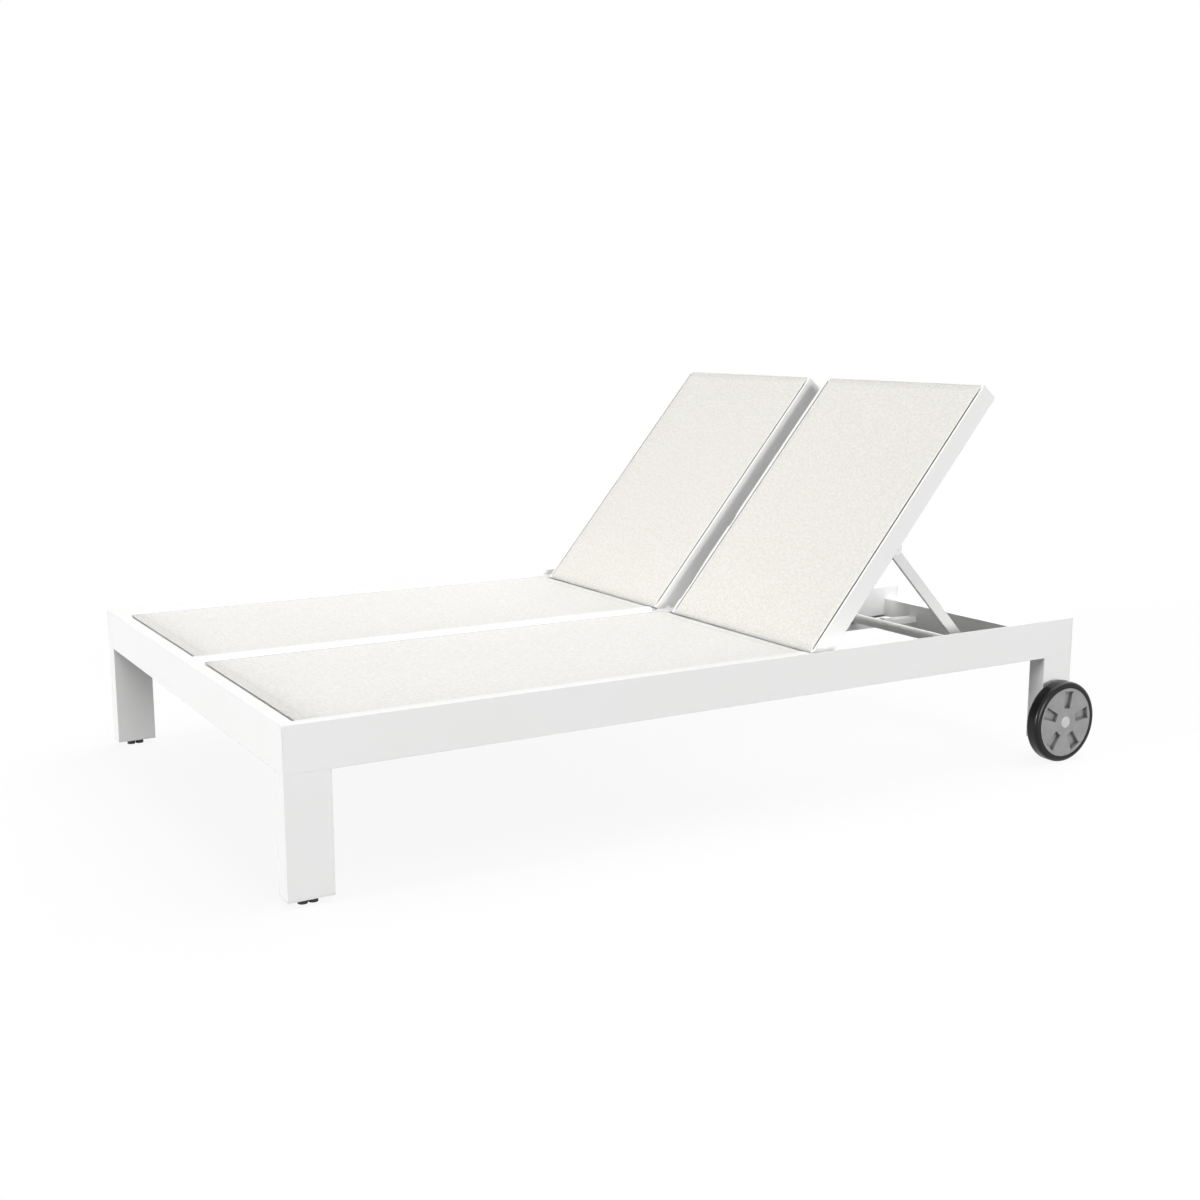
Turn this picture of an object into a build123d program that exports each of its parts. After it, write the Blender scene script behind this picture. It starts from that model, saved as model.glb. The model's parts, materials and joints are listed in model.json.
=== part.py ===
"""Double chaise lounger: two slings side by side in one aluminium frame.

Each half has its own reclining backrest, held up by a hinged prop whose cross bar
sits on notched racks. The head end rolls on two wheels.

Frame: +X to the right as seen from the foot end, +Y from foot to head, +Z up. The
origin is on the floor, under the middle of the length from the foot end's face to
the back of the wheels. All lengths are in millimetres and all angles in degrees.
The right-hand half is modelled, and the left-hand half is its mirror image.
"""
from build123d import *
from math import cos, hypot, radians, sin, sqrt
import os

os.makedirs("parts", exist_ok=True)

# Frame, measured over its outer faces
frame_length = 1980
frame_width = 1290
frame_top = 340

# Rails of the frame: a hollow profile with a rebate and a groove for the sling
rail_height = 90
rail_width = 45
rail_wall = 2.5
lip_width = 28
lip_slope = 5.5
lip_to_seat_end = 30
ledge_drop = 13
groove_block = 12
spline_bore_radius = 3
spline_depth = 6
groove_slot = 2.5

# Cross rails and rear rails between the side rails and the centre rail
cross_tube_height = 45
cross_tube_width = 45
cross_tube_wall = 2
cross_tube_drop = 32
cross_rail_to_hinge = 64
rear_rail_height = 62

# Legs, their end caps and the foot glides
leg_width = 90
glide_height = 12
glide_radius = 9.5
glide_spacing = 20
glide_stem_radius = 4
rear_leg_bottom = 48
cap_plate = 3
cap_plug = 12
plug_clearance = 0.2

# Slings and what holds them
sling_thickness = 1.2
sling_side_gap = 0.5
spline_clearance = 0.4
spreader_radius = 12.2
spreader_wall = 1.5
spreader_clearance = 0.3
spreader_gap = 2
spreader_to_rail = 1
seat_front_gap = 5
hem_flap = 30
hem_side_gap = 1

# Backrests
recline_angle = 50
hinge_from_head = 720.7
hinge_drop = 20
backrest_reach = 728
backrest_tail = 17
backrest_depth = 45
hinge_from_back = 12
outer_clearance = 4
inner_clearance = 14
back_rail_width = 25
back_rail_wall = 2
back_groove_block = 9
back_groove_inset = 8.2
back_groove_slot = 5.4
back_spline_bore_radius = 3.2
back_spline_clearance = 0.3
back_spline_depth = 4.5
back_spline_end = 20
groove_lap = 1
sling_end_inset = 0.5
brace_radius = 11
brace_reach = 337
seat_end_gap = 10.6

# Hinges between the frame and the backrests
bolt_radius = 4
bolt_clearance = 0.05
bolt_head_radius = 6.5
bolt_head_height = 5
bolt_thread = 15
bush_radius = 6
bush_length = 6
bush_flange_radius = 9
bush_flange = 2
spacer_radius = 9
running_gap = 0.3

# Props
pin_reach = 306
pin_drop = 30
prop_lean = 46.5
arm_width = 25
arm_thickness = 8
ear_thickness = 17
ear_radius = 14
ear_gap = 0.5
pin_radius = 4
pin_head_radius = 7
pin_head = 3
bar_radius = 12
bar_wall = 2
bar_clearance = 1

# Notched racks that the cross bars sit on
rack_height = 21
rack_width = 25
rack_wall = 3
rack_from_centre_rail = 102.5
notch_depth = 5
notch_clearance = 0.3
notch_angles = (35, 42, 50, 58, 65)
rack_tail = 85
rack_tail_drop = 6

# Wheels and axles
wheel_radius = 98
wheel_width = 37
wheel_gap = 10
axle_from_head = 57
tyre_thickness = 18
tyre_shoulder = 10
rim_lip_rise = 3
rim_lip = 3
rim_fit = 0.05
rim_barrel = 6
rim_inset = 1
web_thickness = 14
hub_radius = 20
hub_inset = 1
pocket_count = 5
pocket_first_angle = 12
pocket_from_hub = 13
pocket_from_tyre = 5
pocket_inner_width = 20
pocket_outer_width = 30
pocket_depth = 9
pocket_taper = 18
axle_radius = 6
axle_head_radius = 10
axle_head = 4
wheel_bush_radius = 8
head_to_cap = 5.7
hub_cap_radius = 14
hub_cap_thickness = 4
hub_cap_round = 1.5
hub_cap_seat = 3
axle_spacer_radius = 12
nut_across_flats = 19
nut_height = 8

# One length that runs every cut past the face it starts from
overrun = 5

# Places worked out from the sizes above
hinge_from_foot = frame_length - hinge_from_head
axle_from_foot = frame_length - axle_from_head
origin_from_foot = (axle_from_foot + wheel_radius) / 2
half_width = frame_width / 2
hinge_height = frame_top - hinge_drop
face_offset = backrest_depth - hinge_from_back
rail_bottom = frame_top - rail_height
inner_face = half_width - rail_width
centre_face = rail_width / 2
bay_middle = (inner_face + centre_face) / 2
ledge_height = rail_height - ledge_drop
lip_foot = lip_width + lip_slope
ledge_width = rail_width - lip_foot
block_height = ledge_height - groove_block
front_leg_bottom = glide_height
sling_seat = frame_top - ledge_drop
rear_spreader_height = sling_seat - spreader_clearance - spreader_radius
front_spreader_height = rear_spreader_height - sling_thickness
back_right = inner_face - outer_clearance
back_left = centre_face + inner_clearance
back_middle = (back_left + back_right) / 2
seat_front = rail_width + seat_front_gap
seat_end = hinge_from_foot - hypot(backrest_tail, face_offset + sling_thickness) - seat_end_gap
lip_end = seat_end - lip_to_seat_end
bay_plane = Plane.YZ.offset(bay_middle)
back_plane = Plane.YZ.offset(back_middle)


def y_at(from_foot):
    """Place along Y of something measured from the foot end's outer face."""
    return from_foot - origin_from_foot


foot_y = y_at(0)
head_y = y_at(frame_length)
hinge_y = y_at(hinge_from_foot)
axle_y = y_at(axle_from_foot)
axle_height = wheel_radius
seat_front_y = y_at(seat_front)
seat_end_y = y_at(seat_end)
rear_spreader_y = seat_end_y - hem_flap - spreader_gap - spreader_radius
front_spreader_y = y_at(rail_width + spreader_to_rail + spreader_radius)
cross_rail_y = hinge_y - cross_rail_to_hinge - cross_tube_width / 2
rear_rail_y = head_y - cross_tube_width / 2


def x_plane(x, y, z, along=(0, 1, 0)):
    """A sketch plane that faces +X, with its own X pointing along."""
    return Plane(origin=(x, y, z), x_dir=along, z_dir=(1, 0, 0))


def backrest_plane(offset):
    """The backrest's own plane through the hinge: X across, Y up the backrest."""
    lean = radians(recline_angle)
    plane = Plane(origin=(0, hinge_y, hinge_height), x_dir=(1, 0, 0), z_dir=(0, -sin(lean), cos(lean)))
    return plane.offset(offset)


def backrest_place(reach, offset, angle=recline_angle):
    """Y and Z of a point on the backrest, from its reach and its height over the hinge line."""
    lean = radians(angle)
    y = hinge_y + reach * cos(lean) - offset * sin(lean)
    z = hinge_height + reach * sin(lean) + offset * cos(lean)
    return y, z


def along_backrest(across, reach, offset):
    """A sketch plane square to the backrest's length, at a point of the backrest."""
    lean = radians(recline_angle)
    y, z = backrest_place(reach, offset)
    return Plane(origin=(across, y, z), x_dir=(1, 0, 0), z_dir=(0, cos(lean), sin(lean)))


def keep(piece, name):
    """Label a finished piece and write it under that name."""
    piece.part.label = name
    export_step(piece.part, f"parts/{name}.step")


def keep_pair(piece, name):
    """Write the right-hand piece, and its mirror image for the left half."""
    keep(piece, f"right_{name}")
    with BuildPart() as twin:
        mirror(piece.part, about=Plane.YZ)
    keep(twin, f"left_{name}")


def keep_both(piece, name):
    """Write the right-hand pieces and their mirror images as one group."""
    with BuildPart() as group:
        add(piece.part)
        mirror(piece.part, about=Plane.YZ)
    keep(group, name)


def round_bar(plane, radius, length, bore=0):
    """A round bar or tube that starts on a plane and follows its normal."""
    with BuildPart() as bar:
        with BuildSketch(plane):
            Circle(radius)
            if bore:
                Circle(bore, mode=Mode.SUBTRACT)
        extrude(amount=length)
    return bar


def square_tube(plane, width, height, wall, length):
    """A rectangular tube that starts on a plane and follows its normal."""
    with BuildPart() as tube:
        with BuildSketch(plane):
            Rectangle(width, height)
            Rectangle(width - 2 * wall, height - 2 * wall, mode=Mode.SUBTRACT)
        extrude(amount=length)
    return tube


# Rail profiles, drawn from the bottom edge up

centre_lip_foot = rail_width / 2 - ledge_width
centre_lip_top = centre_lip_foot - lip_slope
side_groove = (lip_foot + rail_width) / 2
centre_groove = (centre_lip_foot + rail_width / 2) / 2


def draw_side_outline():
    """Outer outline of a side or front rail beside the slings, from its outer face inwards."""
    Polygon(
        (0, 0), (rail_width, 0), (rail_width, ledge_height), (lip_foot, ledge_height),
        (lip_width, rail_height), (0, rail_height), align=None)


def draw_side_head():
    """Outline of a side rail behind the slings, where the outer wall stands above a plain top."""
    Polygon(
        (0, 0), (rail_width, 0), (rail_width, ledge_height), (rail_wall, ledge_height),
        (rail_wall, rail_height), (0, rail_height), align=None)


def draw_side_hollow(mode=Mode.SUBTRACT, shrink=0):
    """The main hollow of a side or front rail, or the plug that fits it when shrunk."""
    low = rail_wall + shrink
    right = rail_width - low
    under_groove = block_height - shrink
    beside_groove = side_groove - spline_bore_radius - low
    high = ledge_height - low
    Polygon(
        (low, low), (right, low), (right, under_groove), (beside_groove, under_groove),
        (beside_groove, high), (low, high), align=None, mode=mode)


def draw_lip_hollow():
    """The small hollow inside the lip of a side or front rail."""
    right = lip_width - rail_wall
    high = rail_height - rail_wall
    Polygon(
        (rail_wall, ledge_height), (right, ledge_height), (right, high), (rail_wall, high),
        align=None, mode=Mode.SUBTRACT)


def draw_groove(across):
    """The keyhole groove for a sling's spline, in a ledge."""
    with Locations((across, ledge_height - spline_depth)):
        Circle(spline_bore_radius, mode=Mode.SUBTRACT)
        Rectangle(groove_slot, spline_depth + overrun, align=(Align.CENTER, Align.MIN), mode=Mode.SUBTRACT)


def draw_centre_lip():
    """The centre rail's lip, which slopes on both sides."""
    Polygon(
        (-centre_lip_foot, ledge_height), (centre_lip_foot, ledge_height),
        (centre_lip_top, rail_height), (-centre_lip_top, rail_height), align=None)


def draw_centre_box():
    """The centre rail's outline below its lip."""
    Rectangle(rail_width, ledge_height, align=(Align.CENTER, Align.MIN))


def draw_centre_hollow(mode=Mode.SUBTRACT, shrink=0):
    """The hollow of the centre rail, or the plug that fits it when shrunk."""
    low = rail_wall + shrink
    with Locations((0, low)):
        Rectangle(rail_width - 2 * low, block_height - shrink - low, align=(Align.CENTER, Align.MIN), mode=mode)


def side_rail_plane(from_foot):
    """Section plane of the right side rail, drawn from its outer face inwards."""
    return Plane(origin=(half_width, y_at(from_foot), rail_bottom), x_dir=(-1, 0, 0), z_dir=(0, 1, 0))


def centre_rail_plane(from_foot):
    """Section plane of the centre rail."""
    return Plane(origin=(0, y_at(from_foot), rail_bottom), x_dir=(-1, 0, 0), z_dir=(0, 1, 0))


# Outer frame

rail_end = frame_length - cap_plate
bolt_hole_radius = bolt_radius + bolt_clearance

with BuildPart() as side_rail:
    with BuildSketch(side_rail_plane(0)):
        draw_side_outline()
        draw_side_hollow()
        draw_lip_hollow()
        draw_groove(side_groove)
    extrude(amount=rail_end)
    with BuildSketch(Plane.XY.offset(sling_seat)):
        with Locations((half_width - rail_wall, y_at(lip_end))):
            Rectangle(rail_width, frame_length - lip_end, align=(Align.MAX, Align.MIN))
    extrude(amount=ledge_drop + overrun, mode=Mode.SUBTRACT)
    with BuildSketch(Plane.XY.offset(rail_bottom)):
        Polygon(
            (half_width, foot_y), (inner_face, foot_y + rail_width), (inner_face, foot_y - overrun),
            (half_width, foot_y - overrun), align=None)
    extrude(amount=rail_height, mode=Mode.SUBTRACT)
    with BuildSketch(x_plane(inner_face, hinge_y, hinge_height)):
        Circle(bolt_hole_radius)
    extrude(amount=bolt_thread + bolt_clearance, mode=Mode.SUBTRACT)
keep_pair(side_rail, "side_rail")

with BuildPart() as front_rail:
    with BuildSketch(x_plane(-half_width, foot_y, rail_bottom)):
        draw_side_outline()
        draw_side_hollow()
        draw_lip_hollow()
        draw_groove(side_groove)
    extrude(amount=frame_width)
    for side in (1, -1):
        with BuildSketch(Plane.XY.offset(rail_bottom)):
            Polygon(
                (side * half_width, foot_y), (side * inner_face, foot_y + rail_width),
                (side * inner_face, foot_y + rail_width + overrun),
                (side * (half_width + overrun), foot_y + rail_width + overrun),
                (side * (half_width + overrun), foot_y), align=None)
        extrude(amount=rail_height, mode=Mode.SUBTRACT)
keep(front_rail, "front_rail")

with BuildPart() as centre_rail:
    with BuildSketch(centre_rail_plane(rail_width)):
        draw_centre_box()
        draw_centre_hollow()
        draw_groove(centre_groove)
        draw_groove(-centre_groove)
    extrude(amount=rail_end - rail_width)
    with BuildSketch(centre_rail_plane(lip_width)):
        draw_centre_lip()
    extrude(amount=lip_end - lip_width)
    with BuildSketch(x_plane(-centre_face, foot_y, 0)):
        Polygon(
            (lip_width, frame_top), (lip_foot, sling_seat), (lip_foot, rail_bottom),
            (lip_width - overrun, rail_bottom), (lip_width - overrun, frame_top), align=None)
    extrude(amount=rail_width, mode=Mode.SUBTRACT)
    for plane in (x_plane(centre_face, hinge_y, hinge_height), x_plane(-centre_face, hinge_y, hinge_height)):
        with BuildSketch(plane):
            Circle(bolt_hole_radius)
        extrude(
            amount=bolt_thread + bolt_clearance if plane.origin.X < 0 else -bolt_thread - bolt_clearance,
            mode=Mode.SUBTRACT)
keep(centre_rail, "centre_rail")

with BuildPart() as side_rail_cap:
    with BuildSketch(side_rail_plane(rail_end)):
        draw_side_head()
    extrude(amount=cap_plate)
    with BuildSketch(side_rail_plane(rail_end)):
        draw_side_hollow(mode=Mode.ADD, shrink=plug_clearance)
    extrude(amount=-cap_plug)

with BuildPart() as rail_end_caps:
    add(side_rail_cap.part)
    mirror(side_rail_cap.part, about=Plane.YZ)
    with BuildSketch(centre_rail_plane(rail_end)):
        draw_centre_box()
    extrude(amount=cap_plate)
    with BuildSketch(centre_rail_plane(rail_end)):
        draw_centre_hollow(mode=Mode.ADD, shrink=plug_clearance)
    extrude(amount=-cap_plug)
keep(rail_end_caps, "rail_end_caps")

bay_width = inner_face - centre_face
cross_tube_top = sling_seat - cross_tube_drop
cross_tubes = {
    "cross_rail": (cross_rail_y, cross_tube_height),
    "rear_rail": (rear_rail_y, rear_rail_height)}
for name, (y, height) in cross_tubes.items():
    cross_tube = square_tube(
        x_plane(centre_face, y, cross_tube_top - height / 2),
        cross_tube_width, height, cross_tube_wall, bay_width)
    keep_pair(cross_tube, name)


# Legs, end caps and glides

leg_x = half_width - rail_width / 2
leg_places = {
    "front_leg": (foot_y + leg_width / 2, front_leg_bottom + cap_plate),
    "rear_leg": (head_y - leg_width / 2, rear_leg_bottom + cap_plate)}
axle_hole_radius = axle_radius + bolt_clearance

for name, (y, bottom) in leg_places.items():
    with BuildPart() as leg:
        with BuildSketch(Plane((leg_x, y, bottom))):
            Rectangle(rail_width, leg_width)
            Rectangle(rail_width - 2 * rail_wall, leg_width - 2 * rail_wall, mode=Mode.SUBTRACT)
        extrude(amount=rail_bottom - bottom)
        if name == "rear_leg":
            with BuildSketch(x_plane(inner_face - overrun, axle_y, axle_height)):
                Circle(axle_hole_radius)
            extrude(amount=rail_width + 2 * overrun, mode=Mode.SUBTRACT)
    keep_pair(leg, name)

plug_inset = 2 * (rail_wall + plug_clearance)
with BuildPart() as leg_end_caps:
    for name, (y, bottom) in leg_places.items():
        with BuildSketch(Plane((leg_x, y, bottom))):
            Rectangle(rail_width, leg_width)
        extrude(amount=-cap_plate)
        with BuildSketch(Plane((leg_x, y, bottom))):
            Rectangle(rail_width - plug_inset, leg_width - plug_inset)
        extrude(amount=cap_plug)
    with BuildSketch(Plane((leg_x, leg_places["front_leg"][0], front_leg_bottom))):
        with GridLocations(0, glide_spacing, 1, 2):
            Circle(glide_stem_radius + bolt_clearance)
    extrude(amount=cap_plate + cap_plug, mode=Mode.SUBTRACT)
keep_both(leg_end_caps, "leg_end_caps")

with BuildPart() as foot_glides:
    with BuildSketch(Plane((leg_x, leg_places["front_leg"][0], 0))):
        with GridLocations(0, glide_spacing, 1, 2):
            Circle(glide_radius)
    extrude(amount=glide_height)
    with BuildSketch(Plane((leg_x, leg_places["front_leg"][0], glide_height))):
        with GridLocations(0, glide_spacing, 1, 2):
            Circle(glide_stem_radius)
    extrude(amount=cap_plate + cap_plug)
keep_both(foot_glides, "foot_glides")


# Seat slings with folded end hems, their splines, and the spreader tubes under them

with BuildPart() as seat_spreaders:
    for y, z in ((front_spreader_y, front_spreader_height), (rear_spreader_y, rear_spreader_height)):
        with BuildSketch(x_plane(centre_face, y, z)):
            Circle(spreader_radius)
            Circle(spreader_radius - spreader_wall, mode=Mode.SUBTRACT)
        extrude(amount=bay_width)
keep_both(seat_spreaders, "seat_spreaders")

sheet_left = centre_lip_foot + sling_side_gap
sheet_right = half_width - lip_foot - sling_side_gap
sheet_length = seat_end - seat_front
hem_left = centre_face + hem_side_gap
hem_right = inner_face - hem_side_gap

with BuildPart() as seat_sling:
    with BuildSketch(Plane((0, seat_front_y, sling_seat))):
        with Locations((sheet_left, 0)):
            Rectangle(sheet_right - sheet_left, sheet_length, align=(Align.MIN, Align.MIN))
    extrude(amount=sling_thickness)
    with BuildSketch(Plane.XY.offset(sling_seat)):
        for y, side in ((seat_front_y, Align.MIN), (seat_end_y, Align.MAX)):
            with Locations((hem_left, y)):
                Rectangle(hem_right - hem_left, hem_flap, align=(Align.MIN, side))
    extrude(amount=-sling_thickness)
keep_pair(seat_sling, "seat_sling")

with BuildPart() as seat_splines:
    for x in (half_width - side_groove, centre_groove):
        with BuildSketch(Plane(origin=(x, seat_front_y, sling_seat - spline_depth), z_dir=(0, 1, 0))):
            Circle(spline_bore_radius - spline_clearance)
        extrude(amount=sheet_length)
keep_both(seat_splines, "seat_splines")


# Backrest frame: four mitred tubes, a brace, a sling and its splines

back_low = -backrest_tail
back_high = backrest_reach
hollow_depth = backrest_depth - back_rail_wall - back_groove_block
back_face = face_offset - backrest_depth


def mitred_tube(corners, hollow_corner, hollow_size, hollow_depth):
    """A tube of the backrest's frame, from its outline in the backrest's plane."""
    with BuildPart() as tube:
        with BuildSketch(backrest_plane(back_face)):
            Polygon(*corners, align=None)
        extrude(amount=backrest_depth)
        with BuildSketch(backrest_plane(back_face + back_rail_wall)):
            with Locations(hollow_corner):
                Rectangle(*hollow_size, align=(Align.MIN, Align.MIN))
        extrude(amount=hollow_depth, mode=Mode.SUBTRACT)
    return tube


hollow_width = back_rail_width - 2 * back_rail_wall
bush_hole_radius = bush_radius + bolt_clearance
bore_y, bore_z = backrest_place(0, 0)

back_length = back_high - back_low
groove_low = back_low - overrun
groove_length = back_length + 2 * overrun
groove_across = back_right - back_groove_inset
sling_edge = back_groove_inset + back_groove_slot / 2 - groove_lap

plain_side_tube = mitred_tube(
    ((back_right, back_low), (back_right, back_high),
     (back_right - back_rail_width, back_high - back_rail_width),
     (back_right - back_rail_width, back_low + back_rail_width)),
    (back_right - back_rail_width + back_rail_wall, back_low),
    (hollow_width, back_length), hollow_depth)

with BuildPart() as outer_back_rail:
    add(plain_side_tube.part)
    with BuildSketch(along_backrest(groove_across, groove_low, face_offset - back_spline_depth)):
        Circle(back_spline_bore_radius)
    extrude(amount=groove_length, mode=Mode.SUBTRACT)
    with BuildSketch(backrest_plane(face_offset - back_spline_depth)):
        with Locations((groove_across, groove_low)):
            Rectangle(back_groove_slot, groove_length, align=(Align.CENTER, Align.MIN))
    extrude(amount=back_spline_depth + overrun, mode=Mode.SUBTRACT)
    with BuildSketch(x_plane(back_right - back_rail_wall - overrun, bore_y, bore_z)):
        Circle(bush_hole_radius)
    extrude(amount=back_rail_wall + 2 * overrun, mode=Mode.SUBTRACT)
keep_pair(outer_back_rail, "backrest_outer_rail")

with BuildPart() as inner_back_rail:
    mirror(outer_back_rail.part, about=back_plane)
keep_pair(inner_back_rail, "backrest_inner_rail")

end_tubes = {
    "backrest_top_rail": (back_high, -1),
    "backrest_bottom_rail": (back_low, 1)}
end_hollow_depth = backrest_depth - 2 * back_rail_wall
for name, (end, way) in end_tubes.items():
    inner_end = end + way * back_rail_width
    end_tube = mitred_tube(
        ((back_left, end), (back_right, end),
         (back_right - back_rail_width, inner_end), (back_left + back_rail_width, inner_end)),
        (back_left, min(end, inner_end) + back_rail_wall),
        (back_right - back_left, hollow_width), end_hollow_depth)
    keep_pair(end_tube, name)

brace_y, brace_z = backrest_place(brace_reach, face_offset - backrest_depth / 2)
brace_left = back_left + back_rail_width
brace_right = back_right - back_rail_width
brace = round_bar(
    x_plane(brace_left, brace_y, brace_z), brace_radius, brace_right - brace_left,
    bore=brace_radius - spreader_wall)
keep_pair(brace, "backrest_brace")

with BuildPart() as backrest_sling:
    with BuildSketch(backrest_plane(face_offset)):
        with Locations((back_left + sling_edge, back_low + sling_end_inset)):
            Rectangle(
                back_right - back_left - 2 * sling_edge, back_length - 2 * sling_end_inset,
                align=(Align.MIN, Align.MIN))
    extrude(amount=sling_thickness)
keep_pair(backrest_sling, "backrest_sling")

with BuildPart() as backrest_splines:
    for x in (back_left + back_groove_inset, back_right - back_groove_inset):
        with BuildSketch(along_backrest(x, back_low + back_spline_end, face_offset - back_spline_depth)):
            Circle(back_spline_bore_radius - back_spline_clearance)
        extrude(amount=back_length - 2 * back_spline_end)
keep_pair(backrest_splines, "backrest_splines")


# Hinges: a bolt from inside the backrest's tube, through a bush and a spacer, into the rail

bush_inner_x = back_right - bush_length
bolt_seat = back_right - bush_length - running_gap - back_middle
spacer_start = back_right + bush_flange + running_gap - back_middle
hinge_sides = ((1, inner_face), (-1, centre_face))

with BuildPart() as bushes:
    with BuildSketch(x_plane(bush_inner_x, hinge_y, hinge_height)):
        Circle(bush_radius)
        Circle(bolt_hole_radius, mode=Mode.SUBTRACT)
    extrude(amount=bush_length)
    with BuildSketch(x_plane(back_right, hinge_y, hinge_height)):
        Circle(bush_flange_radius)
        Circle(bolt_hole_radius, mode=Mode.SUBTRACT)
    extrude(amount=bush_flange)
    mirror(about=back_plane)
keep_pair(bushes, "backrest_bushes")

with BuildPart() as hinge_bolts:
    for way, rail_face in hinge_sides:
        seat_x = back_middle + way * bolt_seat
        with BuildSketch(x_plane(seat_x, hinge_y, hinge_height)):
            Circle(bolt_radius)
        extrude(amount=rail_face - seat_x + way * bolt_thread)
        with BuildSketch(x_plane(seat_x, hinge_y, hinge_height)):
            Circle(bolt_head_radius)
        extrude(amount=-way * bolt_head_height)
keep_both(hinge_bolts, "hinge_bolts")

with BuildPart() as hinge_spacers:
    for way, rail_face in hinge_sides:
        start_x = back_middle + way * spacer_start
        with BuildSketch(x_plane(start_x, hinge_y, hinge_height)):
            Circle(spacer_radius)
            Circle(bolt_hole_radius, mode=Mode.SUBTRACT)
        extrude(amount=rail_face - start_x)
keep_both(hinge_spacers, "hinge_spacers")


# Props: two flat arms and a cross bar, hung from ears inside the backrest's side tubes

rack_top = rail_bottom + rack_height
bar_height = rack_top + bar_clearance + bar_radius
pin_y, pin_z = backrest_place(pin_reach, -pin_drop)
prop_dip = radians(prop_lean)
prop_length = (pin_z - bar_height) / sin(prop_dip)
prop_way = (0, cos(prop_dip), -sin(prop_dip))
ear_outer_x = back_right - back_rail_width
ear_inner_x = ear_outer_x - ear_thickness
arm_outer_x = ear_inner_x - ear_gap
arm_inner_x = arm_outer_x - arm_thickness
ear_way = (0, cos(radians(recline_angle)), sin(radians(recline_angle)))

with BuildPart() as prop_ears:
    with BuildSketch(x_plane(ear_inner_x, pin_y, pin_z, ear_way)):
        Circle(ear_radius)
        Rectangle(2 * ear_radius, pin_drop, align=(Align.CENTER, Align.MIN))
        Circle(pin_radius + bolt_clearance, mode=Mode.SUBTRACT)
    extrude(amount=ear_thickness)
    mirror(about=back_plane)
keep_pair(prop_ears, "prop_ears")

with BuildPart() as prop_pins:
    with BuildSketch(x_plane(arm_inner_x - running_gap, pin_y, pin_z)):
        Circle(pin_radius)
    extrude(amount=ear_outer_x - arm_inner_x + running_gap)
    with BuildSketch(x_plane(arm_inner_x - running_gap, pin_y, pin_z)):
        Circle(pin_head_radius)
    extrude(amount=-pin_head)
    mirror(about=back_plane)
keep_pair(prop_pins, "prop_pins")

with BuildPart() as outer_arm:
    with BuildSketch(x_plane(arm_inner_x, pin_y, pin_z, prop_way)):
        with Locations((prop_length / 2, 0)):
            SlotCenterToCenter(prop_length, arm_width)
        Circle(pin_radius + bolt_clearance, mode=Mode.SUBTRACT)
    extrude(amount=arm_thickness)
keep_pair(outer_arm, "prop_outer_arm")

with BuildPart() as inner_arm:
    mirror(outer_arm.part, about=back_plane)
keep_pair(inner_arm, "prop_inner_arm")

bar_left = 2 * back_middle - arm_inner_x
bar_y = pin_y + prop_length * cos(prop_dip)
prop_bar = round_bar(
    x_plane(bar_left, bar_y, bar_height), bar_radius, arm_inner_x - bar_left, bore=bar_radius - bar_wall)
keep_pair(prop_bar, "prop_bar")


# Racks

def notch_place(angle):
    """Y of the cross bar when the backrest stands at an angle."""
    y, z = backrest_place(pin_reach, -pin_drop, angle)
    return y + sqrt(prop_length ** 2 - (z - bar_height) ** 2)


rack_x = centre_face + rack_from_centre_rail
rack_front_y = cross_rail_y + cross_tube_width / 2
rack_back_y = rear_rail_y - cross_tube_width / 2
notch_radius = bar_radius + notch_clearance

with BuildPart() as prop_racks:
    with BuildSketch(Plane(origin=(rack_x, rack_front_y, rail_bottom), x_dir=(-1, 0, 0), z_dir=(0, 1, 0))):
        Rectangle(rack_width, rack_height, align=(Align.MAX, Align.MIN))
        with Locations((-rack_wall, rack_wall)):
            Rectangle(
                rack_width - 2 * rack_wall, rack_height - 2 * rack_wall,
                align=(Align.MAX, Align.MIN), mode=Mode.SUBTRACT)
    extrude(amount=rack_back_y - rack_front_y)
    for angle in notch_angles:
        with BuildSketch(x_plane(rack_x, notch_place(angle), rack_top + notch_radius - notch_depth)):
            Circle(notch_radius)
        extrude(amount=rack_width, mode=Mode.SUBTRACT)
    with BuildSketch(x_plane(rack_x, rack_back_y, rack_top)):
        Rectangle(rack_tail, rack_tail_drop, align=(Align.MAX, Align.MAX))
    extrude(amount=rack_width, mode=Mode.SUBTRACT)
    mirror(about=bay_plane)
keep_pair(prop_racks, "prop_racks")


# Wheels, each on an axle bolted through its rear leg

wheel_inner_x = half_width + wheel_gap
wheel_outer_x = wheel_inner_x + wheel_width
wheel_axis = Axis((0, axle_y, axle_height), (1, 0, 0))
wheel_plane = Plane(origin=(0, axle_y, axle_height), x_dir=(1, 0, 0), z_dir=(0, -1, 0))
tyre_seat_radius = wheel_radius - tyre_thickness
rim_lip_radius = tyre_seat_radius + rim_lip_rise
lip_clear = rim_lip_radius + rim_fit
rim_outer_x = wheel_outer_x - rim_inset
rim_inner_x = wheel_inner_x + rim_inset
seat_right = rim_outer_x - rim_lip - rim_fit
seat_left = rim_inner_x + rim_lip + rim_fit

with BuildPart() as tyre:
    with BuildSketch(wheel_plane) as tyre_section:
        Polygon(
            (wheel_inner_x, lip_clear), (wheel_inner_x, wheel_radius),
            (wheel_outer_x, wheel_radius), (wheel_outer_x, lip_clear), (seat_right, lip_clear),
            (seat_right, tyre_seat_radius + rim_fit), (seat_left, tyre_seat_radius + rim_fit),
            (seat_left, lip_clear), align=None)
        fillet(tyre_section.vertices().group_by(Axis.Y)[-1], tyre_shoulder)
    revolve(axis=wheel_axis)
keep_pair(tyre, "tyre")

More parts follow.
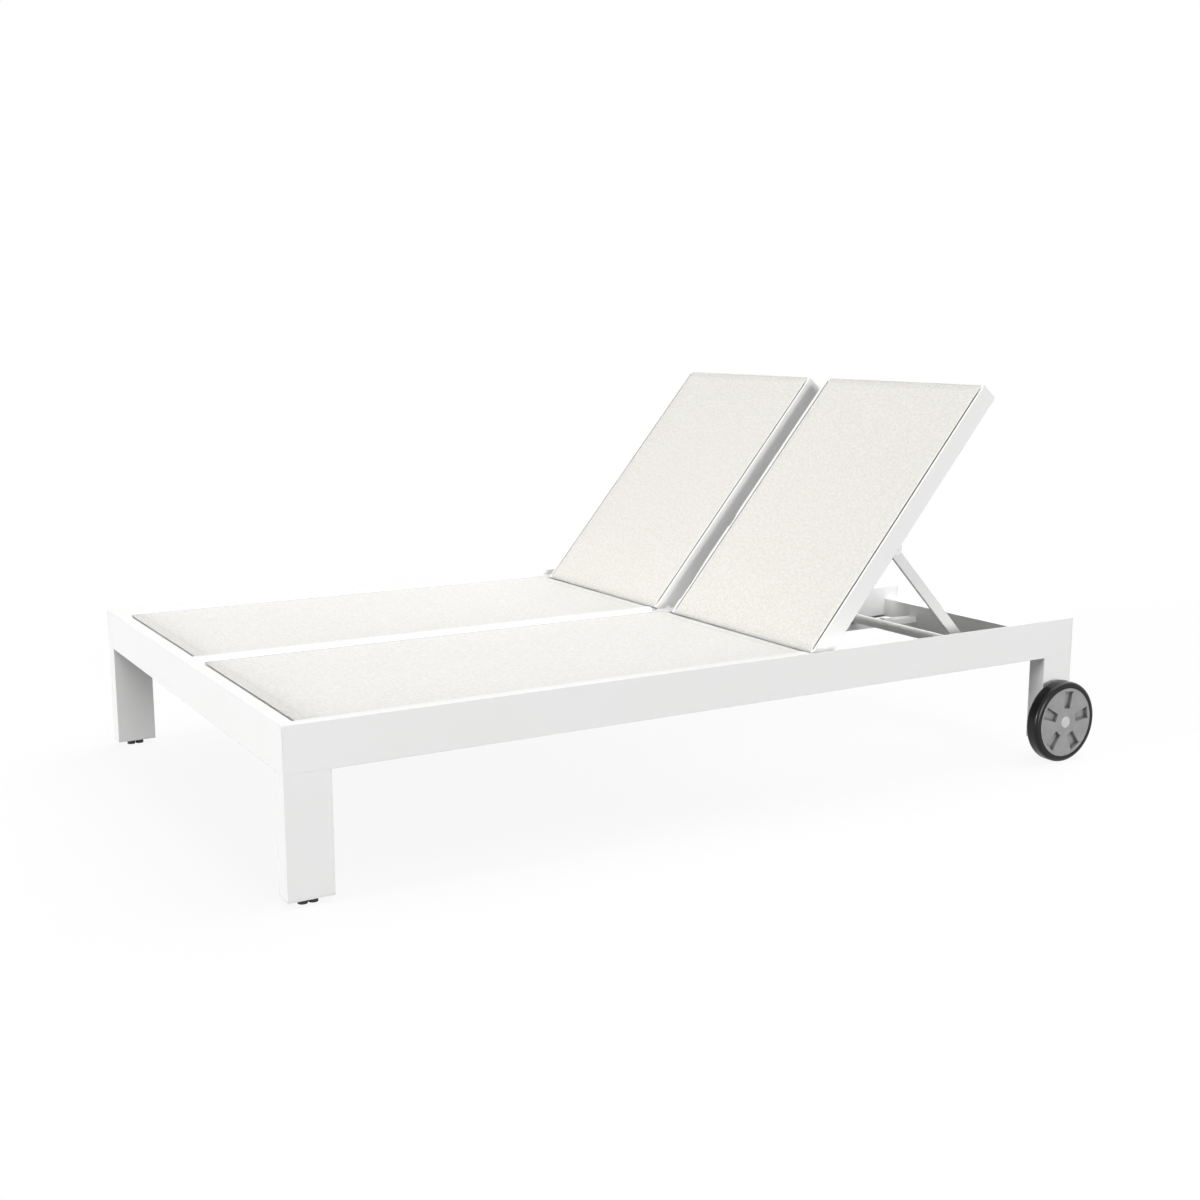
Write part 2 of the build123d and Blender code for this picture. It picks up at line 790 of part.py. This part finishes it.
web_back_x = rim_outer_x - web_thickness
hub_inner_x = wheel_inner_x + hub_inset
cap_seat_x = rim_outer_x - hub_cap_seat
head_seat_x = cap_seat_x - head_to_cap - axle_head
wheel_bush_length = head_seat_x - running_gap - hub_inner_x
head_room = axle_head_radius + running_gap
pocket_inner_radius = hub_radius + pocket_from_hub
pocket_outer_radius = tyre_seat_radius - pocket_from_tyre


def draw_ring(left, right, inner_radius, outer_radius, mode=Mode.ADD):
    """A band of the wheel's section between two places across and two radii."""
    with Locations((left, inner_radius)):
        Rectangle(
            right - left, outer_radius - inner_radius, align=(Align.MIN, Align.MIN), mode=mode)


with BuildPart() as wheel_rim:
    with BuildSketch(wheel_plane):
        draw_ring(rim_inner_x, rim_outer_x, tyre_seat_radius - rim_barrel, tyre_seat_radius)
        draw_ring(rim_inner_x, rim_inner_x + rim_lip, tyre_seat_radius - rim_barrel, rim_lip_radius)
        draw_ring(rim_outer_x - rim_lip, rim_outer_x, tyre_seat_radius - rim_barrel, rim_lip_radius)
        draw_ring(web_back_x, rim_outer_x, wheel_bush_radius, tyre_seat_radius)
        draw_ring(hub_inner_x, rim_outer_x, wheel_bush_radius, hub_radius)
        draw_ring(head_seat_x, rim_outer_x, 0, head_room, mode=Mode.SUBTRACT)
        draw_ring(cap_seat_x, rim_outer_x, 0, hub_cap_radius, mode=Mode.SUBTRACT)
    revolve(axis=wheel_axis)
    with BuildSketch(x_plane(rim_outer_x, axle_y, axle_height)):
        with PolarLocations(0, pocket_count, start_angle=pocket_first_angle):
            Polygon(
                (pocket_inner_radius, -pocket_inner_width / 2),
                (pocket_outer_radius, -pocket_outer_width / 2),
                (pocket_outer_radius, pocket_outer_width / 2),
                (pocket_inner_radius, pocket_inner_width / 2), align=None)
    extrude(amount=-pocket_depth, taper=pocket_taper, mode=Mode.SUBTRACT)
keep_pair(wheel_rim, "wheel_rim")

wheel_bush = round_bar(
    x_plane(hub_inner_x, axle_y, axle_height), wheel_bush_radius, wheel_bush_length, bore=axle_hole_radius)
keep_pair(wheel_bush, "wheel_bush")

with BuildPart() as hub_cap:
    with BuildSketch(x_plane(cap_seat_x, axle_y, axle_height)):
        Circle(hub_cap_radius)
    extrude(amount=hub_cap_thickness)
    fillet(hub_cap.faces().sort_by(Axis.X)[-1].edges(), hub_cap_round)
keep_pair(hub_cap, "hub_cap")

with BuildPart() as axles:
    with BuildSketch(x_plane(inner_face - nut_height, axle_y, axle_height)):
        Circle(axle_radius)
    extrude(amount=head_seat_x - inner_face + nut_height)
    with BuildSketch(x_plane(head_seat_x, axle_y, axle_height)):
        Circle(axle_head_radius)
    extrude(amount=axle_head)
keep_both(axles, "axles")

axle_spacer = round_bar(
    x_plane(half_width, axle_y, axle_height), axle_spacer_radius, wheel_gap + hub_inset - running_gap,
    bore=axle_hole_radius)
keep_both(axle_spacer, "axle_spacers")

with BuildPart() as axle_nuts:
    with BuildSketch(x_plane(inner_face - nut_height, axle_y, axle_height)):
        RegularPolygon(nut_across_flats / 2, 6, major_radius=False)
        Circle(axle_hole_radius, mode=Mode.SUBTRACT)
    extrude(amount=nut_height)
keep_both(axle_nuts, "axle_nuts")
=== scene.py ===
import json
from math import cos, pi, radians, sin

import bpy
from mathutils import Matrix, Vector


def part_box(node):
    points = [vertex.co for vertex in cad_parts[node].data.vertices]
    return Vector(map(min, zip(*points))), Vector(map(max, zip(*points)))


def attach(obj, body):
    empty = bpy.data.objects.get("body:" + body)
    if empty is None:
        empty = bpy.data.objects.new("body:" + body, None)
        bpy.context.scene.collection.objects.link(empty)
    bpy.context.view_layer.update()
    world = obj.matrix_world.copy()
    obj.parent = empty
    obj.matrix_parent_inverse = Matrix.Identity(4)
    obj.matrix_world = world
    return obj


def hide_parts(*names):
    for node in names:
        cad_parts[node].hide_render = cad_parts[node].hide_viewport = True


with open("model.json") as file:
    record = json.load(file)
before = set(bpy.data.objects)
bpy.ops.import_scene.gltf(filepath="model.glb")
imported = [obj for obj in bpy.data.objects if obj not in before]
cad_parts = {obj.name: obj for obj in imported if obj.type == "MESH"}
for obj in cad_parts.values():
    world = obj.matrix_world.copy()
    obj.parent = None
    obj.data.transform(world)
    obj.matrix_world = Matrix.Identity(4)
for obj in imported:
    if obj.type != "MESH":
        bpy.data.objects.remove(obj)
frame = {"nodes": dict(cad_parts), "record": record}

# The double chaise lounger: its slings, stitching, finishes, lights and camera.
# Lengths are in metres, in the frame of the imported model: +X right, +Y to the head end, +Z up.
# Tones are display values from 0 to 255.

MM = 0.001
SIDES = {"right": 1, "left": -1}

# Camera, solved from the photograph's straight edges
camera_place = (3.1352, -1.8453, 1.0295)
camera_heading = radians(59.186)
camera_tilt = radians(-10.236)
camera_roll = radians(0.025)
camera_lens = 45.311
camera_sensor = 36

# Light: a plain sky and four soft lamps, each with its level, spread and direction
sky_level = 0.25
lamps = {
    "front": (2.5, radians(14), (0, -1, 0.167)),
    "top": (1.88, radians(60), (0, 0.5, 1)),
    "right": (1.93, radians(20), (1, -0.05, 0.135)),
    "back": (0.7, radians(40), (-0.7, 1, 0.25)),
}

# Floor: dark to the light that bounces off it, white to the camera but for a faint shadow
floor_size = 60
floor_shade = 0.1
floor_white = 0.97
floor_glow_share = 0.9
floor_roughness = 0.9

# Slings: stretched cloth, which on the seats is folded under at both ends
cloth_thickness = 1.2 * MM
cloth_sag = 0.8 * MM
recline = radians(50)
hem_flap = 30 * MM
ledge_overlap = 12 * MM

# The backrest cloth's edges: how far in and how deep they turn into the grooves, round what bend
groove_turn_in = 0.4 * MM
groove_drop = 2.7 * MM
groove_bend = 1.3 * MM

# Stitching: two rows of threads in each hem. A thread's shoulder is given in its radii
thread_radius = 0.25 * MM
thread_tip_share = 0.5
thread_shoulder = 3
stitch_length = 3.4 * MM
stitch_pitch = 4.6 * MM
stitch_row_gap = 5 * MM
seat_hem_width = 26 * MM
backrest_hem_width = 16 * MM
backrest_row_inset = 8 * MM

# How many steps the cloth and its threads are divided into
seat_rows = 60
seat_columns = 30
flap_rows = 4
fold_rows = 8
backrest_rows = 40
backrest_columns = 24
bend_columns = 6
thread_sides = 4

# Fineness of the noise, and samples of the nodes that look around a point
plain_detail = 2
soft_detail = 1
fine_detail = 3
occlusion_samples = 8
bevel_samples = 4

# Woven cloth: yarns that change places over a narrow band, with slubs along them, painted shade
# between them and a mottled tone
seat_tones = ((249, 248, 245), (236, 235, 230))
# The backrest's cloth is the seat's cloth painted darker, as painted shade against the stronger
# light on its slope
backrest_shaded_tones = ((234, 232, 226), (221, 219, 212))
cloth_roughness = 0.62
cloth_sheen = 0.12
cloth_sheen_roughness = 0.4
yarn_pitch = 1.5 * MM
yarn_change = 0.2
yarn_gap_height = 0.35
yarn_gap_shade = 0.82
weave_depth = 0.28 * MM
slub_size = 3.2 * MM
slub_stretch = 0.25
slub_share = 0.5
mottle_size = 7 * MM
cloth_tone_band = (0.42, 0.58)

# Shade in narrow places: how far it reaches, the openness at which it is full and ends, its tone
groove_reach = 5 * MM
groove_openness = (0.35, 0.9)
groove_shade_tone = (92, 90, 85)
hollow_reach = 14 * MM
hollow_openness = (0.55, 0.95)

# Powder coat: its level of white, and how far its two tones lie from it
frame_level = 246
# The props' arms: the same white coat painted darker, as painted shade behind the backrests
arm_shade_level = 230
coat_changes = ((-1, -1, -2), (1, 1, 1))
coat_roughness = 0.4
coat_roughness_band = (0.36, 0.44)
coat_index = 1.5
coat_tone_patch = 220 * MM
coat_gloss_patch = 60 * MM
coat_peel = 1.4 * MM
coat_peel_depth = 0.03 * MM
coat_edge = 1.3 * MM

# Zinc-plated steel
steel_tone = (196, 197, 198)
steel_roughness = 0.32
steel_roughness_band = (0.24, 0.42)
steel_gloss_patch = 4 * MM
steel_line = 0.5 * MM
steel_line_stretch = 6
steel_line_depth = 0.02 * MM
steel_edge = 0.3 * MM

# Moulded finishes: light and dark tone, roughness, and the grain's size and depth
moulded_looks = {
    "end_cap": ((244, 244, 243), (241, 241, 240), 0.45, 0.8 * MM, 0.03 * MM),
    # The spline rods' dark tone, darker than their recorded colour, paints the shade deep in the
    # grooves
    "spline_rod": ((52, 51, 49), (46, 45, 43), 0.5, 0.6 * MM, 0.02 * MM),
    "glide_black": ((20, 20, 21), (16, 16, 17), 0.55, 0.7 * MM, 0.05 * MM),
    "bush_nylon": ((228, 228, 225), (222, 222, 219), 0.45, 0.6 * MM, 0.03 * MM),
    "tyre_rubber": ((16, 16, 17), (13, 13, 14), 0.3, 1.1 * MM, 0.02 * MM),
    "wheel_grey": ((158, 158, 159), (150, 150, 151), 0.3, 0.9 * MM, 0.03 * MM),
    "hub_cap_light": ((212, 212, 213), (206, 206, 207), 0.25, 0.9 * MM, 0.02 * MM),
}
# Painted shade in the wheel's pockets: the tone their floors darken to
moulded_hollow_shades = {"wheel_grey": (96, 96, 97)}
moulded_sockets = {"tyre_rubber": {"Specular_IOR_Level": 0.3}, "wheel_grey": {"Coat_Weight": 0.3}}
moulded_tone_patch = 25 * MM
moulded_edge = 0.8 * MM

# The parts of the noise's range that changes of tone and gloss are drawn from
wide_noise_band = (0.3, 0.7)
narrow_noise_band = (0.35, 0.65)

# The display curve: where its straight start ends, its slope there, then its offset and power
curve_start = 0.04045
curve_slope = 12.92
curve_offset = 0.055
curve_power = 2.4

# A Mix node's sockets for colours
mix_share, mix_first, mix_second, mix_result = 0, 6, 7, 2

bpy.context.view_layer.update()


# Materials

def linear(level):
    """A display value from 0 to 255 as the linear level that a shader takes."""
    share = level / 255
    if share <= curve_start:
        return share / curve_slope
    return ((share + curve_offset) / (1 + curve_offset)) ** curve_power


def shade(red, green, blue):
    """A colour given by its three display values."""
    return (linear(red), linear(green), linear(blue), 1)


def grey(level):
    """A grey given by its linear level."""
    return (level, level, level, 1)


class Nodes:
    """A node tree, with short calls for its nodes."""

    def __init__(self, tree):
        self.tree = tree

    def node(self, kind, inputs=None, **settings):
        """A node with its settings, its inputs linked or set."""
        made = self.tree.nodes.new(kind)
        for key, value in settings.items():
            setattr(made, key, value)
        for key, value in (inputs or {}).items():
            if isinstance(value, bpy.types.NodeSocket):
                self.tree.links.new(value, made.inputs[key])
            else:
                made.inputs[key].default_value = value
        return made

    def math(self, operation, first, second=0.0):
        """One arithmetic step."""
        return self.node("ShaderNodeMath", {0: first, 1: second}, operation=operation).outputs[0]

    def remap(self, value, low, high, to_low, to_high):
        """A value moved from one range to another, held within it."""
        inputs = {"Value": value, "From Min": low, "From Max": high}
        inputs |= {"To Min": to_low, "To Max": to_high}
        return self.node("ShaderNodeMapRange", inputs).outputs["Result"]

    def seen(self):
        """1 for the camera's rays and those that gloss or glass sends on, 0 for bounced light."""
        rays = self.node("ShaderNodeLightPath").outputs
        direct = self.math("MAXIMUM", rays["Is Camera Ray"], rays["Is Transmission Ray"])
        return self.math("MAXIMUM", direct, rays["Is Glossy Ray"])


class Paint(Nodes):
    """A material under construction: its tree and its main shader."""

    def __init__(self, name, colour, roughness, **sockets):
        self.material = bpy.data.materials.new(name)
        self.material.use_nodes = True
        super().__init__(self.material.node_tree)
        self.shader = self.tree.nodes["Principled BSDF"]
        self.shader.inputs["Base Color"].default_value = colour
        self.shader.inputs["Roughness"].default_value = roughness
        for socket, value in sockets.items():
            self.shader.inputs[socket.replace("_", " ")].default_value = value

    def place(self, turn=0):
        """Object coordinates, turned about X so that a leaning sheet lies in X and Y."""
        coordinates = self.node("ShaderNodeTexCoord").outputs["Object"]
        turned = self.node("ShaderNodeMapping", {"Vector": coordinates, "Rotation": (-turn, 0, 0)})
        return turned.outputs["Vector"]

    def noise(self, place, feature, detail=plain_detail, stretch=(1, 1, 1)):
        """Smooth noise from 0 to 1 whose features are about this large."""
        stretched = self.node("ShaderNodeMapping", {"Vector": place, "Scale": stretch})
        inputs = {"Vector": stretched.outputs["Vector"], "Scale": 1 / feature, "Detail": detail}
        return self.node("ShaderNodeTexNoise", inputs).outputs["Fac"]

    def drift(self, place, feature, band, low=0, high=1):
        """A value that drifts from low to high in patches about this large."""
        return self.remap(self.noise(place, feature), *band, low, high)

    def blend(self, share, first, second, kind="MIX"):
        """A colour blended from two colours."""
        inputs = {mix_share: share, mix_first: first, mix_second: second}
        mixed = self.node("ShaderNodeMix", inputs, data_type="RGBA", blend_type=kind)
        return mixed.outputs[mix_result]

    def openness(self, reach, shut, clear, local=False):
        """How open the surface is within this reach: 0 where it is shut in, 1 where it is clear."""
        found = self.node(
            "ShaderNodeAmbientOcclusion", {"Distance": reach},
            samples=occlusion_samples, only_local=local)
        return self.remap(found.outputs["AO"], shut, clear, 0, 1)

    def colour(self, socket):
        """Use this as the base colour."""
        self.tree.links.new(socket, self.shader.inputs["Base Color"])

    def rough(self, socket):
        """Use this as the roughness."""
        self.tree.links.new(socket, self.shader.inputs["Roughness"])

    def relief(self, height, depth, edge=0.0):
        """Bump of this depth, over edges rounded by this radius."""
        inputs = {"Height": height, "Distance": depth}
        if edge:
            bevel = self.node("ShaderNodeBevel", {"Radius": edge}, samples=bevel_samples)
            inputs["Normal"] = bevel.outputs["Normal"]
        bump = self.node("ShaderNodeBump", inputs)
        self.tree.links.new(bump.outputs["Normal"], self.shader.inputs["Normal"])


def powder_coat(name, level):
    """Powder coat of this white: a faint orange peel, a slight change of tone, rounded edges."""
    paint = Paint(name, shade(level, level, level), coat_roughness, IOR=coat_index)
    place = paint.place()
    darker, lighter = (shade(*(level + change for change in changes)) for changes in coat_changes)
    paint.colour(paint.blend(paint.drift(place, coat_tone_patch, wide_noise_band), darker, lighter))
    paint.rough(paint.drift(place, coat_gloss_patch, wide_noise_band, *coat_roughness_band))
    paint.relief(paint.noise(place, coat_peel, detail=soft_detail), coat_peel_depth, edge=coat_edge)
    return paint.material


def sling_cloth(name, tones, turn=0):
    """Coated sling cloth: a plain weave with slubs and a mottled tone, painted shade between yarns
    and in grooves.
    """
    light, dark = (shade(*tone) for tone in tones)
    sheen = {"Sheen_Weight": cloth_sheen, "Sheen_Roughness": cloth_sheen_roughness}
    paint = Paint(name, light, cloth_roughness, **sheen)
    place = paint.place(turn)
    axes = paint.node("ShaderNodeSeparateXYZ", {"Vector": place}).outputs
    across = paint.math("SINE", paint.math("MULTIPLY", axes["X"], pi / yarn_pitch))
    along = paint.math("SINE", paint.math("MULTIPLY", axes["Y"], pi / yarn_pitch))
    crossing = paint.math("MULTIPLY", across, along)
    height = paint.math("ABSOLUTE", crossing)
    over = paint.remap(crossing, -yarn_change, yarn_change, 0, 1)
    slub_across = paint.noise(place, slub_size, stretch=(slub_stretch, 1, 1))
    slub_along = paint.noise(place, slub_size, stretch=(1, slub_stretch, 1))
    slub = paint.math("ADD", paint.math("MULTIPLY", slub_across, over),
                      paint.math("MULTIPLY", slub_along, paint.math("SUBTRACT", 1.0, over)))
    mottle = paint.noise(place, mottle_size, detail=fine_detail)
    tone = paint.math("ADD", paint.math("MULTIPLY", slub, slub_share),
                      paint.math("MULTIPLY", mottle, 1 - slub_share))
    yarn = paint.blend(paint.remap(tone, *cloth_tone_band, 0, 1), dark, light)
    # Painted shade in the gaps between the yarns
    gap = paint.remap(height, 0, yarn_gap_height, yarn_gap_shade, 1)
    shaded = paint.blend(1.0, yarn, gap, kind="MULTIPLY")
    # Painted shade where the cloth is shut in, as deep in a groove
    open_share = paint.openness(groove_reach, *groove_openness)
    paint.colour(paint.blend(open_share, shade(*groove_shade_tone), shaded))
    paint.relief(height, weave_depth)
    return paint.material


def moulded(name, light, dark, roughness, grain, depth):
    """Moulded plastic or rubber: fine grain, a slight change of tone, and painted shade in the
    hollows of some.
    """
    light, dark = shade(*light), shade(*dark)
    paint = Paint(name, light, roughness, **moulded_sockets.get(name, {}))
    place = paint.place()
    colour = paint.blend(paint.drift(place, moulded_tone_patch, narrow_noise_band), dark, light)
    if name in moulded_hollow_shades:
        # Painted shade in the hollows, where their walls shut the surface in
        open_share = paint.openness(hollow_reach, *hollow_openness, local=True)
        colour = paint.blend(open_share, shade(*moulded_hollow_shades[name]), colour)
    paint.colour(colour)
    paint.relief(paint.noise(place, grain, detail=fine_detail), depth, edge=moulded_edge)
    return paint.material


def plated_steel(name):
    """Zinc-plated steel for the fasteners: fine turned lines and a mottled sheen."""
    paint = Paint(name, shade(*steel_tone), steel_roughness, Metallic=1.0)
    place = paint.place()
    paint.rough(paint.drift(place, steel_gloss_patch, wide_noise_band, *steel_roughness_band))
    lines = paint.noise(place, steel_line, stretch=(steel_line_stretch, 1, 1))
    paint.relief(lines, steel_line_depth, edge=steel_edge)
    return paint.material


finishes = {name: moulded(name, *look) for name, look in moulded_looks.items()}
finishes["frame_white"] = powder_coat("frame_white", frame_level)
finishes["seat_fabric"] = sling_cloth("seat_fabric", seat_tones)
finishes["backrest_fabric"] = sling_cloth("backrest_fabric", backrest_shaded_tones, recline)
finishes["fastener_steel"] = plated_steel("fastener_steel")


def finish_cad_nodes():
    """Give every CAD node its slot's finish, but the props' arms a darker copy of the same coat, as
    painted shade.
    """
    arm_shaded_coat = powder_coat("arm_shaded_coat", arm_shade_level)
    for part in frame["record"]["subparts"]:
        name = part["node"]
        materials = frame["nodes"][name].data.materials
        materials.clear()
        materials.append(arm_shaded_coat if name.endswith("_arm") else finishes[part["material_slot"]])


# Pieces made here

def add_object(name, data):
    """A new object in the scene."""
    made = bpy.data.objects.new(name, data)
    bpy.context.scene.collection.objects.link(made)
    return made


def add_piece(name, points, faces, slot, body):
    """A mesh piece with its slot's finish, riding on a body."""
    mesh = bpy.data.meshes.new(name)
    mesh.from_pydata(points, [], faces)
    mesh.update()
    mesh.shade_smooth()
    mesh.materials.append(finishes[slot])
    piece = add_object(name, mesh)
    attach(piece, body)
    return piece


def steps(low, high, count):
    """Evenly spaced values from low to high, both included."""
    return [low + (high - low) * step / count for step in range(count + 1)]


def grid_faces(rows, columns, way, full_rows):
    """Faces of a grid of points. Rows that aren't full go without their first and last columns."""
    faces = []
    for row in range(rows - 1):
        margin = 0 if row in full_rows else 1
        for column in range(margin, columns - 1 - margin):
            first = row * columns + column
            corners = (first, first + 1, first + columns + 1, first + columns)
            faces.append(corners if way > 0 else corners[::-1])
    return faces


def drop_unused(points, faces):
    """The points that the faces use, and the faces by those points' new numbers."""
    used = sorted({index for face in faces for index in face})
    renumber = {old: new for new, old in enumerate(used)}
    kept = [points[index] for index in used]
    return kept, [tuple(renumber[index] for index in face) for face in faces]


def ends(values):
    """The lowest and the highest of some values."""
    ordered = sorted(values)
    return ordered[0], ordered[-1]


def bow(share):
    """A parabola over a share from 0 to 1: nothing at both ends, 1 in the middle."""
    return 4 * share * (1 - share)


def thicken(piece, thickness):
    """Give a surface piece its thickness, half on each side."""
    solid = piece.modifiers.new("thickness", "SOLIDIFY")
    solid.thickness = thickness
    solid.offset = 0
    solid.use_even_offset = True


def stitch(start, end, lift):
    """Points and faces of one stitch: a short rounded thread from start to end, half sunk."""
    way = (end - start).normalized()
    side = way.cross(lift).normalized()
    turns = steps(0, pi, thread_sides)
    ring = [(side * cos(turn) + lift * sin(turn)) * thread_radius for turn in turns]
    tip = way * thread_radius
    shoulder = tip * thread_shoulder
    bands = (
        (start + tip, thread_tip_share),
        (start + shoulder, 1),
        (end - shoulder, 1),
        (end - tip, thread_tip_share))
    points = [centre + spoke * share for centre, share in bands for spoke in ring]
    count = len(ring)
    faces = []
    for band in range(len(bands) - 1):
        for corner in range(count - 1):
            first = band * count + corner
            faces.append((first, first + count, first + count + 1, first + 1))
    faces.append(tuple(range(count)))
    faces.append(tuple(reversed(range(len(points) - count, len(points)))))
    return points, faces


def stitch_rows(name, rows, slot, body):
    """Rows of stitches, each row given by its two ends and the way that faces out."""
    points, faces = [], []
    for start, end, lift in rows:
        length = (end - start).length
        way = (end - start) / length
        for number in range(int(length / stitch_pitch)):
            near = start + way * number * stitch_pitch
            more_points, more_faces = stitch(near, near + way * stitch_length, lift)
            offset = len(points)
            points += more_points
            faces += [tuple(index + offset for index in face) for face in more_faces]
    return add_piece(name, points, faces, slot, body)


def hem_rows(start, end, width):
    """Where the two rows of stitches in each end's hem run, along the sheet's length."""
    edges = ((start, 1), (end, -1))
    return [edge + inward * (width - gap) for edge, inward in edges for gap in (0, stitch_row_gap)]


# Seat slings: a flat sheet whose two ends are folded under between the rails

def seat_path(front, rear, flap_z, sheet_z, fold):
    """The sheet's line from flap to flap as (y, z) points, and its rows that reach the ledges."""
    reach = fold + cloth_thickness / 2
    bend = [(fold * sin(turn), fold - fold * cos(turn)) for turn in steps(0, pi, fold_rows)]
    under = steps(hem_flap, reach, flap_rows)[:-1]
    path = [(front + inset, flap_z) for inset in under]
    path += [(front + reach - out, flap_z + up) for out, up in bend]
    first_full = len(path) - 1
    path += [(y, sheet_z) for y in steps(front + reach, rear - reach, seat_rows)[1:-1]]
    full_rows = range(first_full, len(path))
    path += [(rear - reach + out, sheet_z - up) for out, up in bend]
    path += [(rear - inset, flap_z) for inset in reversed(under)]
    return path, full_rows


def seat_sling(side):
    """One seat sling with its folded hems, and its rows of stitches."""
    way = SIDES[side]
    low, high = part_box(f"{side}_seat_sling")
    half = cloth_thickness / 2
    left, right = sorted((abs(low.x), abs(high.x)))
    front, rear = low.y, high.y
    sheet_z = high.z - half
    flap_z = low.z + half
    fold = (sheet_z - flap_z) / 2
    path, full_rows = seat_path(front, rear, flap_z, sheet_z, fold)
    across = [left] + steps(left + ledge_overlap, right - ledge_overlap, seat_columns) + [right]
    points = []
    for y, z in path:
        along = (y - front) / (rear - front)
        for x in across:
            share = (x - left) / (right - left)
            sag = cloth_sag * bow(share) * bow(along) if z > flap_z + fold else 0
            points.append(Vector((way * x, y, z - sag)))
    points, faces = drop_unused(points, grid_faces(len(path), len(across), way, full_rows))
    sling = add_piece(f"{side}_seat_cloth", points, faces, "seat_fabric", "root")
    thicken(sling, cloth_thickness)
    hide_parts(f"{side}_seat_sling")
    up = Vector((0, 0, 1))
    inner, outer = way * (left + ledge_overlap), way * (right - ledge_overlap)
    rows = [
        (Vector((inner, y, high.z)), Vector((outer, y, high.z)), up)
        for y in hem_rows(front, rear, seat_hem_width)]
    threads = stitch_rows(f"{side}_seat_stitches", rows, "seat_fabric", "root")


# Backrest slings: a flat sheet whose long edges turn down into the side tubes' grooves

def backrest_section(left, right):
    """The sheet's line across the backrest, as (x, height over the sheet) points."""
    bend = [
        (groove_turn_in + groove_bend * (1 - cos(turn)), -groove_bend * (1 - sin(turn)))
        for turn in steps(0, pi / 2, bend_columns)[1:]]
    edge = [(groove_turn_in, -groove_drop), (groove_turn_in, -groove_bend)] + bend
    inset = groove_turn_in + groove_bend
    flat = [(x, 0) for x in steps(left + inset, right - inset, backrest_columns)[1:-1]]
    return [(left + x, z) for x, z in edge] + flat + [(right - x, z) for x, z in reversed(edge)]


def backrest_sling(side):
    """One backrest sling, and its rows of stitches."""
    way = SIDES[side]
    body = f"{side}_backrest"
    lean_y = Vector((0, cos(recline), sin(recline)))
    lean_z = Vector((0, -sin(recline), cos(recline)))
    half = cloth_thickness / 2
    corners = [Vector(v.co) for v in frame["nodes"][f"{side}_backrest_sling"].data.vertices]
    middle = sum(ends(corner.dot(lean_z) for corner in corners)) / 2
    start, end = ends(corner.dot(lean_y) for corner in corners)
    left, right = ends(abs(corner.x) for corner in corners)
    section = backrest_section(left, right)
    lengths = steps(start, end, backrest_rows)
    points = []
    for reach in lengths:
        along = (reach - start) / (end - start)
        for x, z in section:
            share = (x - left) / (right - left)
            sag = cloth_sag * bow(share) * bow(along)
            points.append(Vector((way * x, 0, 0)) + lean_y * reach + lean_z * (middle + z - sag))
    faces = grid_faces(len(lengths), len(section), way, range(len(lengths)))
    sling = add_piece(f"{side}_backrest_cloth", points, faces, "backrest_fabric", body)
    thicken(sling, cloth_thickness)
    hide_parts(f"{side}_backrest_sling")
    inner, outer = left + backrest_row_inset, right - backrest_row_inset
    rows = []
    for reach in hem_rows(start, end, backrest_hem_width):
        foot = lean_y * reach + lean_z * (middle + half)
        near, far = (foot + Vector((way * x, 0, 0)) for x in (inner, outer))
        rows.append((near, far, lean_z))
    threads = stitch_rows(f"{side}_backrest_stitches", rows, "backrest_fabric", body)


# Stage: camera, lights, floor

def add_camera():
    """The photograph's camera."""
    data = bpy.data.cameras.new("camera")
    data.lens = camera_lens
    data.sensor_width = camera_sensor
    camera = add_object("camera", data)
    turn = Matrix.Rotation(camera_heading, 4, "Z") @ Matrix.Rotation(pi / 2 + camera_tilt, 4, "X")
    roll = Matrix.Rotation(camera_roll, 4, "Z")
    camera.matrix_world = Matrix.Translation(camera_place) @ turn @ roll
    bpy.context.scene.camera = camera


def add_sky():
    """A plain sky that looks white."""
    world = bpy.data.worlds.new("sky")
    bpy.context.scene.world = world
    world.use_nodes = True
    sky = Nodes(world.node_tree)
    background = sky.tree.nodes["Background"]
    background.inputs["Color"].default_value = grey(1)
    level = sky.remap(sky.seen(), 0, 1, sky_level, 1)
    sky.tree.links.new(level, background.inputs["Strength"])


def add_lamps():
    """The soft lamps, which shine as the sun does."""
    for name, (strength, spread, way) in lamps.items():
        data = bpy.data.lights.new(name, "SUN")
        data.energy = strength
        data.angle = spread
        lamp = add_object(name, data)
        lamp.rotation_mode = "QUATERNION"
        lamp.rotation_quaternion = Vector(way).to_track_quat("Z", "Y")


def floor_paint():
    """The floor's material: a dark floor, which looks white and takes a faint shadow."""
    dark, pale = grey(floor_shade), grey(floor_white)
    paint = Paint("floor", dark, floor_roughness, Specular_IOR_Level=0)
    seen = paint.seen()
    paint.colour(paint.blend(seen, dark, pale))
    glow = paint.node("ShaderNodeEmission", {"Color": grey(1), "Strength": 1.0}).outputs[0]
    share = paint.math("MULTIPLY", seen, floor_glow_share)
    inputs = {0: share, 1: paint.shader.outputs[0], 2: glow}
    mixed = paint.node("ShaderNodeMixShader", inputs).outputs[0]
    paint.tree.links.new(mixed, paint.tree.nodes["Material Output"].inputs["Surface"])
    return paint.material


def add_floor():
    """The floor, level with the glides' and wheels' lowest points."""
    half = floor_size / 2
    corners = [(-half, -half, 0), (half, -half, 0), (half, half, 0), (-half, half, 0)]
    mesh = bpy.data.meshes.new("floor")
    mesh.from_pydata(corners, [], [(0, 1, 2, 3)])
    mesh.materials.append(floor_paint())
    floor = add_object("floor", mesh)


finish_cad_nodes()
for side in SIDES:
    seat_sling(side)
    backrest_sling(side)
add_camera()
add_sky()
add_lamps()
add_floor()
bpy.context.scene.view_settings.view_transform = "Standard"
